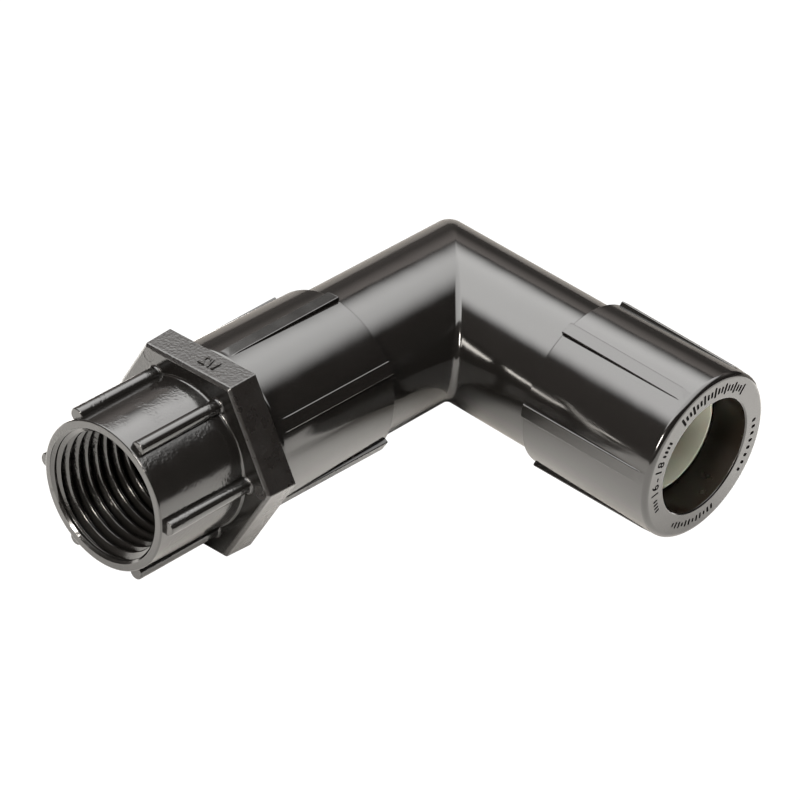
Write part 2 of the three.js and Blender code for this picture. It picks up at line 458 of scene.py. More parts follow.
def new_material(name: str) -> tuple[bpy.types.Material, bpy.types.NodeTree]:
    """Makes a node material with no nodes yet.

    Args:
        name: The material's name.

    Returns:
        The material and its node tree.
    """
    material = bpy.data.materials.new(name)
    material.use_nodes = True
    material.node_tree.nodes.clear()
    return material, material.node_tree


def per_metre(size_mm: float) -> float:
    """Noise scale, for coordinates in metres, that gives features of this size."""
    return 1 / (size_mm * MM)


NOISE_LOW = 0.3  # nearly all of a noise texture lies between these two values
NOISE_HIGH = 0.7


@dataclass(frozen=True)
class Plastic:
    """A moulded plastic or rubber.

    Its sheen varies in soft patches, its skin ripples where the melt shrank, and a fine grain lies on
    top where the mould was eroded and not polished.
    """

    name: str
    colour: str
    ior: float
    roughness: float
    roughness_spread: float
    patch_mm: float  # size of the patches of sheen
    ripple_mm: float  # length of the shrink ripples
    ripple_depth_mm: float
    grain_mm: float
    grain_depth_mm: float
    grain_starts: float = -1.0  # value of the patches' noise where the grain starts
    grain_full: float = 0.0  # and where it is full; with these two values it is full everywhere
    subsurface: float = 0.0
    subsurface_mm: float = 0.0

    def material(self) -> bpy.types.Material:
        """The finish as a node material, which is made at its first use.

        Returns:
            The material.
        """
        made = bpy.data.materials.get(self.name)
        if made:
            return made
        material, tree = new_material(self.name)
        place = add_node(tree, "ShaderNodeTexCoord").outputs["Object"]
        patches = add_node(tree, "ShaderNodeTexNoise", {"Scale": per_metre(self.patch_mm), "Detail": 4.0},
                           {"Vector": place})
        sheen = add_node(tree, "ShaderNodeMapRange",
                         {"From Min": NOISE_LOW, "From Max": NOISE_HIGH,
                          "To Min": self.roughness - self.roughness_spread,
                          "To Max": self.roughness + self.roughness_spread},
                         {"Value": patches.outputs["Fac"]})
        ripples = add_node(tree, "ShaderNodeTexNoise", {"Scale": per_metre(self.ripple_mm), "Detail": 1.0},
                           {"Vector": place})
        rippled = add_node(tree, "ShaderNodeBump", {"Strength": 1.0, "Distance": self.ripple_depth_mm * MM},
                           {"Height": ripples.outputs["Fac"]})
        grain = add_node(tree, "ShaderNodeTexNoise", {"Scale": per_metre(self.grain_mm), "Detail": 2.0},
                         {"Vector": place})
        cover = add_node(tree, "ShaderNodeMapRange",
                         {"From Min": self.grain_starts, "From Max": self.grain_full},
                         {"Value": patches.outputs["Fac"]})
        grained = add_node(tree, "ShaderNodeBump", {"Distance": self.grain_depth_mm * MM},
                           {"Height": grain.outputs["Fac"], "Normal": rippled.outputs["Normal"],
                            "Strength": cover.outputs["Result"]})
        shader = add_node(tree, "ShaderNodeBsdfPrincipled",
                          {"Base Color": linear(self.colour), "IOR": self.ior,
                           "Subsurface Weight": self.subsurface,
                           "Subsurface Scale": self.subsurface_mm * MM},
                          {"Roughness": sheen.outputs["Result"], "Normal": grained.outputs["Normal"]})
        add_node(tree, "ShaderNodeOutputMaterial", links={"Surface": shader.outputs["BSDF"]})
        return material


# Black ABS out of a polished mould: deep black with sharp, slightly wavy reflections.
POLISHED_ABS = Plastic(
    "abs_black_polished_moulding", colour="#0d0c0b", ior=1.52, roughness=0.11, roughness_spread=0.03,
    patch_mm=6.0, ripple_mm=5.5, ripple_depth_mm=0.028, grain_mm=0.5, grain_depth_mm=0.0010)
# The same ABS out of an eroded mould: a fine sparkling grain that dulls the reflections. The real grain is
# about 0.1 mm, too fine to show, so it is drawn at 0.45 mm.
GRAINED_ABS = Plastic(
    "abs_black_eroded_grain_moulding", colour="#0d0b0a", ior=1.52, roughness=0.29, roughness_spread=0.04,
    patch_mm=3.0, ripple_mm=6.0, ripple_depth_mm=0.008, grain_mm=0.45, grain_depth_mm=0.065)
# The collars' insides: the same ABS, dull as off a core pin. Its darker, browner black and lower IOR than the
# face are painted shade in the mouth's bore and chamber.
BORE_SHADE_ABS = Plastic(
    "abs_black_dull_bore_painted_shade", colour="#0e0804", ior=1.46, roughness=0.30, roughness_spread=0.04,
    patch_mm=3.0, ripple_mm=6.0, ripple_depth_mm=0.003, grain_mm=0.5, grain_depth_mm=0.0008)
# The adapter's smooth parts: less well polished than the collars, with grain left in patches, which is
# drawn as coarse as the grain above.
SATIN_ABS = Plastic(
    "abs_black_satin_moulding", colour="#0e0d0c", ior=1.52, roughness=0.16, roughness_spread=0.04,
    patch_mm=4.5, ripple_mm=6.0, ripple_depth_mm=0.030, grain_mm=0.45, grain_depth_mm=0.060,
    grain_starts=0.46, grain_full=0.60)
# Recessed marks: a dead flat black, darker than the face, with a low IOR that weakens their reflections.
MARK_ABS = Plastic(
    "abs_black_matt_mark", colour="#050404", ior=1.20, roughness=0.80, roughness_spread=0.05,
    patch_mm=1.0, ripple_mm=3.0, ripple_depth_mm=0.001, grain_mm=0.2, grain_depth_mm=0.002)
# Natural acetal, moulded: milky grey-green, waxy, and a little light passes through its edges.
PALE_ACETAL = Plastic(
    "acetal_natural_moulding", colour="#c0c1b1", ior=1.48, roughness=0.36, roughness_spread=0.04,
    patch_mm=2.0, ripple_mm=5.0, ripple_depth_mm=0.004, grain_mm=0.3, grain_depth_mm=0.0008,
    subsurface=0.12, subsurface_mm=0.8)
# Moulded nitrile rubber: dark grey, dull, with no clear reflections.
SEAL_RUBBER = Plastic(
    "nitrile_rubber_moulding", colour="#2a2a2c", ior=1.52, roughness=0.62, roughness_spread=0.05,
    patch_mm=2.0, ripple_mm=4.0, ripple_depth_mm=0.002, grain_mm=0.25, grain_depth_mm=0.003)


def dress(piece: bpy.types.Object, finish: Plastic) -> None:
    """Gives a whole piece its finish."""
    piece.data.materials.clear()
    piece.data.materials.append(finish.material())


def finish_faces(piece: bpy.types.Object, finish: Plastic, test: Callable[[Vector, Vector], bool]) -> None:
    """Gives the faces whose centre and normal pass a test a finish of their own.

    Args:
        piece: The mesh object.
        finish: The finish.
        test: Says whether a face is wanted.
    """
    if finish.material().name not in piece.data.materials:
        piece.data.materials.append(finish.material())
    with edit_mode(piece):
        piece.active_material_index = piece.data.materials.find(finish.name)
        select_faces(piece, test)
        bpy.ops.object.material_slot_assign()


def enter_frame(piece: bpy.types.Object, body: Body, node: str) -> None:
    """Makes a finished piece ride on its body and stand for its CAD node.

    Args:
        piece: The finished mesh object.
        body: The body it moves with.
        node: The CAD node that it replaces.
    """
    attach(piece, body.value)
    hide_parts(node)
    log.info("%s: %d faces on %s", piece.name, len(piece.data.polygons), body.value)


# ---- Elbow body --------------------------------------------------------------------------------------


@dataclass
class ElbowBody:
    """Mitred body: two legs, the water way through the corner and a stepped socket in each leg."""

    leg_radius: float = 12.0
    passage_radius: float = 7.2
    stop_s: float = 25.0  # ledge that the tube end butts against
    socket_radius: float = 9.2
    seal_seat_s: float = 29.5
    seal_seat_radius: float = 10.2
    end_s: float = 33.6
    ring_split: float = 10.9  # points on the mitre nearer to the corner than this are the passage's
    apex_radius: float = 3.0  # rounding along the mitre on the outside of the bend
    crook_radius: float = 1.1  # and on the inside
    least_share: float = 0.01  # of the rounding, left at the top
    seam_segments: int = 8

    def mitre_ring(self, radius: float) -> bpy.types.Object:
        """Ring where a cylinder crosses the mitre plane.

        Args:
            radius: The cylinder's radius in mm.

        Returns:
            The ring as a mesh object.
        """
        bpy.ops.object.select_all(action="DESELECT")
        bpy.ops.mesh.primitive_circle_add(vertices=FACETS, radius=radius, rotation=(math.pi / 2, 0, 0))
        ring = bpy.context.object
        settle(ring)
        ring.rotation_euler = (0, 0, -math.pi / 4)
        settle(ring)
        ring.scale = (math.sqrt(2), math.sqrt(2), 1)
        settle(ring)
        return ring

    def grow_leg(self, piece: bpy.types.Object, along: Vector) -> None:
        """Extrudes the outer mitre ring along a leg, over its end and back down its stepped socket.

        Args:
            piece: The body, in edit mode.
            along: Direction of the leg.
        """
        split = self.ring_split
        select_edges(piece, lambda a, b: on_mitre(a) and on_mitre(b) and min(a.length, b.length) > split)
        across = Vector((1, 1, 1)) - Vector([abs(c) for c in along])
        steps = [
            (self.leg_radius, self.end_s), (self.seal_seat_radius, self.end_s),
            (self.seal_seat_radius, self.seal_seat_s), (self.socket_radius, self.seal_seat_s),
            (self.socket_radius, self.stop_s), (self.passage_radius, self.stop_s),
        ]
        radius, s = self.leg_radius, 0.0
        for next_radius, next_s in steps:
            bpy.ops.mesh.extrude_edges_move(TRANSFORM_OT_translate={"value": along * (next_s - s)})
            flat = across * (next_radius / radius)  # nothing along the leg, so the end is flat
            bpy.ops.transform.resize(value=flat, center_override=along * next_s)
            radius, s = next_radius, next_s

    def join_passage(self, piece: bpy.types.Object, along: Vector) -> None:
        """Bridges a leg's inmost ring to the passage's mitre ring.

        Args:
            piece: The body, in edit mode.
            along: Direction of the leg.
        """
        def in_passage(point: Vector) -> bool:
            """Whether a point is on the mitre ring or on the leg's inmost ring."""
            at_stop = abs(point.dot(along) - self.stop_s) < WELD
            radial = (point - along * point.dot(along)).length
            in_mitre = on_mitre(point) and point.length < self.ring_split
            return in_mitre or (at_stop and radial < self.passage_radius + WELD)

        select_edges(piece, lambda a, b: in_passage(a) and in_passage(b))
        bpy.ops.mesh.bridge_edge_loops()

    def round_seam(self, piece: bpy.types.Object) -> None:
        """Rounds the mitre edge, wide where the legs meet squarely and fading to nothing at the top.

        Args:
            piece: The body.
        """
        mesh = piece.data
        weights = mesh.attributes.new("bevel_weight_edge", "FLOAT", "EDGE")
        for edge in mesh.edges:
            ends = [mesh.vertices[index].co for index in edge.vertices]
            if all(on_mitre(end) and end.length > self.ring_split for end in ends):
                rise = abs(sum(end.z for end in ends)) / 2 / self.leg_radius
                share = math.sqrt(max(0.0, 1 - rise ** 2) / (1 + rise ** 2))
                inside = ends[0].x - ends[0].y > 0
                scale = self.crook_radius / self.apex_radius if inside else 1.0
                weights.data[edge.index].value = max(self.least_share, share * scale)
        apply_modifier(piece, "BEVEL", width=self.apex_radius, segments=self.seam_segments,
                       limit_method="WEIGHT", use_clamp_overlap=False)

    def build(self, corner: Vector) -> bpy.types.Object:
        """The body in place.

        Args:
            corner: Where the leg axes cross, in metres.

        Returns:
            The finished piece.
        """
        piece = joined([self.mitre_ring(self.leg_radius), self.mitre_ring(self.passage_radius)])
        piece.name = "mitred_body"
        with edit_mode(piece):
            for leg in (TUBE_LEG, ADAPTER_LEG):
                self.grow_leg(piece, leg.along)
            for leg in (TUBE_LEG, ADAPTER_LEG):
                self.join_passage(piece, leg.along)
            weld()
        self.round_seam(piece)
        with edit_mode(piece):
            weld()
        dress(piece, POLISHED_ABS)
        smooth(piece)
        piece.matrix_world = Matrix.Translation(corner) @ Matrix.Scale(MM, 4)
        settle(piece)
        return piece


def on_mitre(point: Vector) -> bool:
    """Whether a point is on the plane where the two legs meet."""
    return abs(point.x + point.y) < WELD


# ---- Collar ------------------------------------------------------------------------------------------


@dataclass(frozen=True)
class BarRow:
    """A row of bars round a collar's face. Its first bar, and every third from there, has its own length."""

    start: float  # degrees round the leg
    step: float
    count: int
    width: float  # mm round the mouth
    length: float  # mm along the radius
    third_length: float


@dataclass
class FaceMarks:
    """Generic marks sunk into a collar's face: a graduated row, the tube sizes, dots and dashes."""

    radius: float = 11.05  # of the middle of the marks
    depth: float = 0.16
    tube_sizes: str = "16-18"  # mm
    sizes_start: float = 188.0  # degrees round the leg
    figure_step: float = 6.6
    figure_height: float = 1.5
    figure_bolder: float = 0.05
    rows: tuple[BarRow, ...] = (
        BarRow(start=52, step=4.1, count=19, width=0.46, length=1.1, third_length=1.8),  # graduated, on top
        BarRow(start=144, step=3.6, count=4, width=0.38, length=0.9, third_length=0.9),  # ends of the sizes
        BarRow(start=195, step=3.6, count=4, width=0.38, length=0.9, third_length=0.9),
        BarRow(start=240, step=4.4, count=12, width=0.42, length=1.1, third_length=0.7),  # dashes, below
        BarRow(start=-36, step=6.2, count=8, width=0.55, length=0.85, third_length=0.85),  # dots, far side
    )
    bar_roundness: float = 0.45  # radius of a bar's corners as a share of its shorter side

    def bar(self, angle: float, length: float, width: float, face_s: float) -> bpy.types.Object:
        """One bar across the face at an angle round the mouth, as a cutter.

        Args:
            angle: Degrees round the leg.
            length: Size along the radius in mm.
            width: Size round the mouth in mm.
            face_s: Where the face is.

        Returns:
            The cutter.
        """
        half = Vector((length / 2, width / 2, self.depth))
        middle = Vector((self.radius, 0, face_s))
        cutter = block("bar", middle - half, middle + half)
        with edit_mode(cutter):
            select_edges(cutter, lambda a, b: abs(a.z - b.z) > self.depth)
            bpy.ops.mesh.bevel(offset=min(length, width) * self.bar_roundness, segments=4, affect="EDGES")
        turn_about_leg(cutter, angle)
        return cutter

    def figure(self, sign: str, angle: float, face_s: float) -> bpy.types.Object:
        """One figure with its top outwards, as a cutter.

        Args:
            sign: The character.
            angle: Degrees round the leg.
            face_s: Where the face is.

        Returns:
            The cutter.
        """
        figure = figures(sign, self.figure_height, self.depth, self.figure_bolder)
        figure.location = (0, self.radius, face_s)
        settle(figure)
        turn_about_leg(figure, angle - 90)
        with edit_mode(figure):
            weld()
        return figure

    def build(self, face_s: float) -> bpy.types.Object:
        """All the marks as one cutter with the marks' finish.

        Args:
            face_s: Where the face is.

        Returns:
            The cutter.
        """
        cutters = []
        for row in self.rows:
            for number in range(row.count):
                length = row.length if number % 3 else row.third_length
                cutters.append(self.bar(row.start + number * row.step, length, row.width, face_s))
        for number, sign in enumerate(self.tube_sizes):
            cutters.append(self.figure(sign, self.sizes_start - number * self.figure_step, face_s))
        marks = joined(cutters)
        dress(marks, MARK_ABS)
        return marks


@dataclass
class Collar:
    """Ribbed collar welded over the end of a leg, with the mouth and the grip ring's chamber inside."""

    first_rib: float  # degrees round the leg
    start_s: float = 26.1
    face_s: float = 49.7
    start_radius: float = 13.0
    end_radius: float = 13.3
    sleeve_radius: float = 12.15
    edge: float = 0.84  # rounding between the side and the face
    chamber_radius: float = 11.0
    chamber_s: float = 33.9
    shoulder_s: float = 43.75
    shoulder_cone: float = 1.15
    mouth_radius: float = 9.25
    mouth_chamfer: float = 0.2
    bore_slope: float = 0.3  # a face of the bore points less towards the mouth than this
    small_edge: float = 0.18
    rib_setback: float = 0.045
    rib_width: float = 2.1
    rib_root: float = 12.6
    rib_radius: float = 13.65
    rib_fade_s: float = 46.8  # from here on the rib's top sinks into the side
    rib_fade_radius: float = 13.39
    rib_end_s: float = 49.2
    rib_end_radius: float = 13.2
    rib_edge: float = 0.17

    def in_mouth(self, centre: Vector, normal: Vector) -> bool:
        """Whether a face lies on the mouth's bore or in the chamber.

        Args:
            centre: The face's middle.
            normal: Its normal.

        Returns:
            Whether it does.
        """
        inside = math.hypot(centre.x, centre.y) < self.chamber_radius + WELD
        return inside and normal.z < self.bore_slope and centre.z < self.face_s - self.mouth_chamfer / 2

    def shell(self, name: str) -> bpy.types.Object:
        """The turned part of the collar.

        Args:
            name: The piece's name.

        Returns:
            The mesh object.
        """
        fine = self.small_edge
        return turned(name, rounded([
            (self.sleeve_radius, self.start_s, 0), (self.start_radius, self.start_s, fine),
            (self.end_radius, self.face_s, self.edge),
            (self.mouth_radius + self.mouth_chamfer, self.face_s, fine),
            (self.mouth_radius, self.face_s - self.mouth_chamfer, fine),
            (self.mouth_radius, self.shoulder_s, fine),
            (self.chamber_radius, self.shoulder_s - self.shoulder_cone, fine),
            (self.chamber_radius, self.chamber_s, fine), (self.sleeve_radius, self.chamber_s, 0),
        ]))

    def rib(self) -> bpy.types.Object:
        """One flat-topped rib at angle 0, which sinks into the tapered side towards the face.

        Returns:
            The mesh object.
        """
        half = self.rib_width / 2
        start = self.start_s + self.rib_setback
        rib = block("rib", (self.rib_root, -half, start), (self.rib_radius, half, self.rib_end_s))
        with edit_mode(rib):
            bpy.ops.mesh.select_all(action="SELECT")
            bpy.ops.mesh.bisect(plane_co=(0, 0, self.rib_fade_s), plane_no=(0, 0, 1))
            top = self.rib_radius - WELD
            drops = {self.rib_fade_s: self.rib_fade_radius, self.rib_end_s: self.rib_end_radius}
            for s, radius in drops.items():
                select_edges(rib, lambda a, b: min(a.x, b.x) > top and max(abs(a.z - s), abs(b.z - s)) < WELD)
                bpy.ops.transform.translate(value=(radius - self.rib_radius, 0, 0))
            fade = self.rib_fade_s
            select_edges(rib, lambda a, b: min(a.x, b.x) > self.rib_root + WELD
                         and max(abs(a.z - fade), abs(b.z - fade)) > WELD)
            bpy.ops.mesh.bevel(offset=self.rib_edge, segments=3, affect="EDGES")
        return rib

    def build(self, name: str, leg: Leg, corner: Vector, marks: FaceMarks | None = None) -> bpy.types.Object:
        """The collar in place.

        Args:
            name: The piece's name.
            leg: The leg that it sits on.
            corner: Where the leg axes cross, in metres.
            marks: Recessed marks for its face.

        Returns:
            The finished piece.
        """
        collar = self.shell(name)
        angles = [self.first_rib + rib * 360 / RIB_COUNT for rib in range(RIB_COUNT)]
        combine(collar, copies_round(self.rib(), angles), Join.ADD)
        dress(collar, POLISHED_ABS)
        if marks:
            combine(collar, marks.build(self.face_s), Join.CUT)
        with edit_mode(collar):
            weld()
        # The bore and chamber take the darker, less reflective finish that is painted shade inside the mouth.
        finish_faces(collar, BORE_SHADE_ABS, self.in_mouth)
        smooth(collar)
        leg.place(collar, corner)
        return collar


# ---- Grip ring and seal ------------------------------------------------------------------------------


@dataclass
class GripRing:
    """Ring that lets the tube in and bites when it is pulled: funnel, saw teeth and slits for its spring."""

    tip_radius: float
    front_s: float = 43.45
    back_s: float = 35.3
    radius: float = 10.7
    lip_radius: float = 9.5
    cone: float = 1.15
    funnel_radius: float = 9.1
    throat_radius: float = 8.3
    throat_s: float = 39.9
    funnel_steps: int = 14
    lip_edge: float = 0.12
    edge: float = 0.1
    back_edge: float = 0.5
    cone_edge: float = 0.2
    tooth_edge: float = 0.04
    tooth_count: int = 3
    tooth_pitch: float = 1.4
    tooth_root: float = 8.9
    tooth_start: float = 0.3  # behind the throat
    tooth_back: float = 0.2  # length of the steep side of a tooth
    slit_count: int = 6
    slit_width: float = 0.8
    slit_end_s: float = 39.6

    def funnel(self) -> list[tuple[float, float, float]]:
        """Inside of the funnel: a quarter wave from the front lip down to the throat.

        Returns:
            (radius, s, corner radius) in mm.
        """
        corners = [(self.funnel_radius + self.lip_edge, self.front_s, 0)]
        for step in range(self.funnel_steps + 1):
            share = step / self.funnel_steps
            fall = (self.funnel_radius - self.throat_radius) * math.sin(share * math.pi / 2)
            depth = (self.front_s - self.lip_edge - self.throat_s) * share
            corners.append((self.funnel_radius - fall, self.front_s - self.lip_edge - depth, 0))
        return corners

    def teeth(self) -> list[tuple[float, float, float]]:
        """Saw teeth, each with a steep side towards the mouth.

        Returns:
            (radius, s, corner radius) in mm.
        """
        corners = []
        for tooth in range(self.tooth_count):
            mouthward = self.throat_s - self.tooth_start - tooth * self.tooth_pitch
            corners.append((self.tooth_root, mouthward, self.tooth_edge))
            corners.append((self.tip_radius, mouthward - self.tooth_pitch + self.tooth_back, self.tooth_edge))
        return corners

    def build(self, name: str, leg: Leg, corner: Vector) -> bpy.types.Object:
        """The ring in place.

        Args:
            name: The piece's name.
            leg: The leg whose collar holds it.
            corner: Where the leg axes cross, in metres.

        Returns:
            The finished piece.
        """
        ring = turned(name, rounded([
            (self.lip_radius, self.front_s, self.edge), *self.funnel(), *self.teeth(),
            (self.tooth_root, self.back_s, self.edge), (self.radius, self.back_s, self.back_edge),
            (self.radius, self.front_s - self.cone, self.cone_edge),
        ]))
        half = self.slit_width / 2
        slit = block("slit", (self.tip_radius - 1, -half, self.back_s - 1),
                     (self.radius + 1, half, self.slit_end_s))
        angles = [number * 360 / self.slit_count for number in range(self.slit_count)]
        combine(ring, copies_round(slit, angles), Join.CUT)
        with edit_mode(ring):
            weld()
        dress(ring, PALE_ACETAL)
        smooth(ring)
        leg.place(ring, corner)
        return ring


@dataclass
class Seal:
    """Lipped rubber seal in the seat at the end of the body."""

    radius: float = 10.05
    start_s: float = 29.8
    length: float = 3.05
    lip_radius: float = 8.25
    lip_width: float = 0.6
    lip_place: float = 0.45  # share of the length behind the lip
    front_wall: float = 1.0  # how far the front lies outside the lip
    back_wall: float = 0.7
    edge: float = 0.18

    def build(self, name: str, leg: Leg, corner: Vector) -> bpy.types.Object:
        """The seal in place.

        Args:
            name: The piece's name.
            leg: The leg that it sits in.
            corner: Where the leg axes cross, in metres.

        Returns:
            The finished piece.
        """
        end_s = self.start_s + self.length
        lip_s = self.start_s + self.lip_place * self.length
        seal = turned(name, rounded([
            (self.radius, self.start_s, self.edge), (self.radius, end_s, self.edge),
            (self.lip_radius + self.front_wall, end_s, self.edge),
            (self.lip_radius, lip_s + self.lip_width, self.edge), (self.lip_radius, lip_s, self.edge),
            (self.lip_radius + self.back_wall, self.start_s, self.edge),
        ]), HIDDEN_FACETS)
        dress(seal, SEAL_RUBBER)
        smooth(seal)
        leg.place(seal, corner)
        return seal


# ---- Threaded adapter --------------------------------------------------------------------------------


@dataclass
class PipeThread:
    """Tap for the half-inch female pipe thread: a helix of the true pitch, depth and taper."""

    mouth_s: float
    pitch: float = 25.4 / 14
    turns: int = 8
    major_radius: float = 10.5
    depth: float = 1.15
    taper: float = 1 / 32  # fall in radius for each millimetre of depth
    crest: float = 0.34  # width of the flat on the thread that shows
    crest_edge: float = 0.2
    root_edge: float = 0.1
    half_angle: float = math.radians(30)
    arc_step: float = 20.0  # degrees between points on the rounded edges
    part_turn: float = 0.35  # over the whole turns
    spare_turns: int = 2  # at each end, cut off again
    steps: int = 96

    def build(self) -> bpy.types.Object:
        """The tap as a closed solid along +Z.

        Returns:
            The mesh object.
        """
        flank = self.depth * math.tan(self.half_angle)
        minor = self.major_radius - self.depth
        outline = rounded([
            (minor, 0, 0), (minor, self.crest / 2, self.crest_edge),
            (self.major_radius, self.crest / 2 + flank, self.root_edge),
            (self.major_radius, self.pitch - self.crest / 2 - flank, self.root_edge),
            (minor, self.pitch - self.crest / 2, self.crest_edge), (minor, self.pitch, 0),
        ], step=self.arc_step)
        length = (self.turns + self.part_turn) * self.pitch
        start = -(self.turns + self.spare_turns) * self.pitch
        tap = drawn("tap", [(radius, s + start) for radius, s in outline])
        apply_modifier(tap, "SCREW", axis="Z", angle=FULL_TURN, screw_offset=self.pitch,
                       iterations=self.turns + 2 * self.spare_turns, steps=self.steps,
                       render_steps=self.steps)
        with edit_mode(tap):
            weld()
            for end, direction in ((self.pitch, 1), (-length, -1)):
                bpy.ops.mesh.select_all(action="SELECT")
                bpy.ops.mesh.bisect(plane_co=(0, 0, end), plane_no=(0, 0, direction), use_fill=True,
                                    clear_outer=True)
            weld()
        factor = (length + self.pitch) * self.taper / self.major_radius
        apply_modifier(tap, "SIMPLE_DEFORM", deform_method="TAPER", deform_axis="Z", factor=factor)
        tap.location = (0, 0, self.mouth_s)
        settle(tap)
        return tap


@dataclass
class ThreadedAdapter:
    """Adapter in one moulding: spigot, journal, hexagon, ribbed nose and female pipe thread."""

    turn: float = 3.6  # degrees; it swivels freely and rests a little off square
    spigot_end_s: float = 26.4
    spigot_radius: float = 8.0
    spigot_chamfer: float = 0.5
    bead_radius: float = 8.5
    bead_s: float = 34.2
    bead_width: float = 0.5
    journal_radius: float = 9.05
    journal_s: float = 44.6
    bore_radius: float = 6.2
    hex_start_s: float = 50.6
    hex_end_s: float = 55.85
    hex_across_flats: float = 28.86
    hex_edge: float = 0.14
    hex_chamfer: float = 0.42
    hex_draft: float = 0.20  # how far each flat leans in towards the mouth
    nose_start_radius: float = 11.6
    nose_end_radius: float = 11.46
    nose_fillet: float = 0.5
    nose_edge: float = 0.28
    mouth_s: float = 72.15
    mouth_radius: float = 10.3
    mouth_chamfer: float = 0.35
    rib_radius: float = 1.15
    rib_centre: float = 11.85
    rib_setback: float = 0.7
    rib_fillet: float = 0.45
    rib_edge: float = 0.22
    rib_facets: int = 40
    tapping_radius: float = 8.6  # hole before the thread is cut
    thread_end_depth: float = 15.1
    runout: float = 1.6
    pin_radius: float = 1.1
    pin_centre: float = 14.75
    pin_depth: float = 0.05
    pin_edge: float = 0.03
    figure_height: float = 2.0
    figure_rise: float = 0.2
    figure_bolder: float = 0.03
    figure_shift: float = 2.0  # off the middle of the flat
    figure_s: float = 53.2
    fine: float = 0.06
    spigot_edge: float = 0.1
    bead_edge: float = 0.15
    bead_back_edge: float = 0.08
    journal_cone: float = 1.0
    inner_edge: float = 0.2
    bite: float = 0.5  # how far the wider parts reach into the hexagon
    counterbore_depth: float = 0.8
    counterbore_cone: float = 0.9
    margin: float = 0.1  # round the hexagon, where its grain ends

    def on_hexagon(self, centre: Vector, normal: Vector) -> bool:
        """Whether a face lies on the hexagon's flats or on its ends.

        Args:
            centre: The face's middle.
            normal: Its normal, which makes no difference.

        Returns:
            Whether it does.
        """
        in_span = self.hex_start_s - self.margin < centre.z < self.hex_end_s + self.margin
        outside = self.nose_start_radius + self.nose_fillet + 2 * self.margin
        return in_span and math.hypot(centre.x, centre.y) > outside

    def barrel(self, name: str) -> bpy.types.Object:
        """The turned part, with the plain bore.

        Args:
            name: The piece's name.

        Returns:
            The mesh object.
        """
        foot = self.nose_start_radius + self.nose_fillet
        foot_s = self.hex_end_s - SINK
        lead_in = self.mouth_radius - self.mouth_chamfer
        counterbore_s = self.mouth_s - self.counterbore_depth
        bore_end_s = self.mouth_s - self.thread_end_depth - self.runout
        inner = self.inner_edge
        return turned(name, rounded([
            (self.bore_radius, self.spigot_end_s, self.spigot_edge),
            (self.spigot_radius, self.spigot_end_s, self.spigot_chamfer),
            (self.spigot_radius, self.bead_s - self.bead_width, 0),
            (self.bead_radius, self.bead_s, self.bead_edge),
            (self.bead_radius, self.bead_s + self.bead_width, self.bead_back_edge),
            (self.spigot_radius, self.bead_s + self.bead_width, self.bead_back_edge),
            (self.spigot_radius, self.journal_s - self.journal_cone, inner),
            (self.journal_radius, self.journal_s, inner),
            (self.journal_radius, self.hex_start_s + self.bite, 0), (foot, self.hex_start_s + self.bite, 0),
            (foot, foot_s, 0), (self.nose_start_radius, foot_s, self.nose_fillet - SINK),
            (self.nose_end_radius, self.mouth_s, self.nose_edge),
            (self.mouth_radius, self.mouth_s, self.fine),
            (lead_in, self.mouth_s - self.mouth_chamfer, self.fine),
            (lead_in, counterbore_s, self.spigot_edge),
            (self.tapping_radius, counterbore_s - self.counterbore_cone, 0),
            (self.tapping_radius, bore_end_s + self.runout, 0), (self.bore_radius, bore_end_s, inner),
        ]))

    def hexagon(self) -> bpy.types.Object:
        """The hexagon, with a chamfer on its front edge and a fine radius on the others.

        Returns:
            The mesh object.
        """
        corner_radius = self.hex_across_flats / 2 / math.cos(math.pi / HEX_SIDES)
        thickness = self.hex_end_s - self.hex_start_s
        bpy.ops.object.select_all(action="DESELECT")
        bpy.ops.mesh.primitive_cylinder_add(vertices=HEX_SIDES, radius=corner_radius, depth=thickness,
                                            location=(0, 0, self.hex_start_s + thickness / 2),
                                            rotation=(0, 0, math.pi / HEX_SIDES))
        hexagon = bpy.context.object
        settle(hexagon)
        front = self.hex_end_s - WELD
        lean = 1 - 2 * self.hex_draft / self.hex_across_flats
        with edit_mode(hexagon):
            select_edges(hexagon, lambda a, b: min(a.z, b.z) > front)
            bpy.ops.transform.resize(value=(lean, lean, 1), center_override=(0, 0, front))
            bpy.ops.mesh.bevel(offset=self.hex_chamfer, segments=1, affect="EDGES")
            bpy.ops.mesh.select_all(action="SELECT")
            bpy.ops.mesh.bevel(offset=self.hex_edge, segments=3, affect="EDGES")
            weld()
        return hexagon

    def nose_rib(self) -> bpy.types.Object:
        """One half-round rib at angle 0: a rod sunk into the nose, flared where it meets the hexagon.

        Returns:
            The mesh object.
        """
        foot_s = self.hex_end_s - SINK
        end_s = self.mouth_s - self.rib_setback
        flare = self.rib_radius + self.rib_fillet
        rod = turned("rod", rounded([
            (SINK, foot_s - self.bite, 0), (flare, foot_s - self.bite, 0), (flare, foot_s, 0),
            (self.rib_radius, foot_s, self.rib_fillet - SINK), (self.rib_radius, end_s, self.rib_edge),
            (SINK, end_s, 0),
        ]), self.rib_facets)
        rod.location = (self.rib_centre, 0, 0)
        settle(rod)
        return rod

    def pins(self) -> bpy.types.Object:
        """Shallow round prints of the ejector pins at every second corner of the hexagon.

        Returns:
            The prints, as one cutter.
        """
        bpy.ops.object.select_all(action="DESELECT")
        bpy.ops.mesh.primitive_cylinder_add(vertices=48, radius=self.pin_radius, depth=self.pin_depth * 2,
                                            location=(self.pin_centre, 0, self.hex_end_s))
        pin = bpy.context.object
        settle(pin)
        with edit_mode(pin):
            select_edges(pin, lambda a, b: max(a.z, b.z) < self.hex_end_s)
            bpy.ops.mesh.bevel(offset=self.pin_edge, segments=2, affect="EDGES")
        return copies_round(pin, [0, 120, 240])

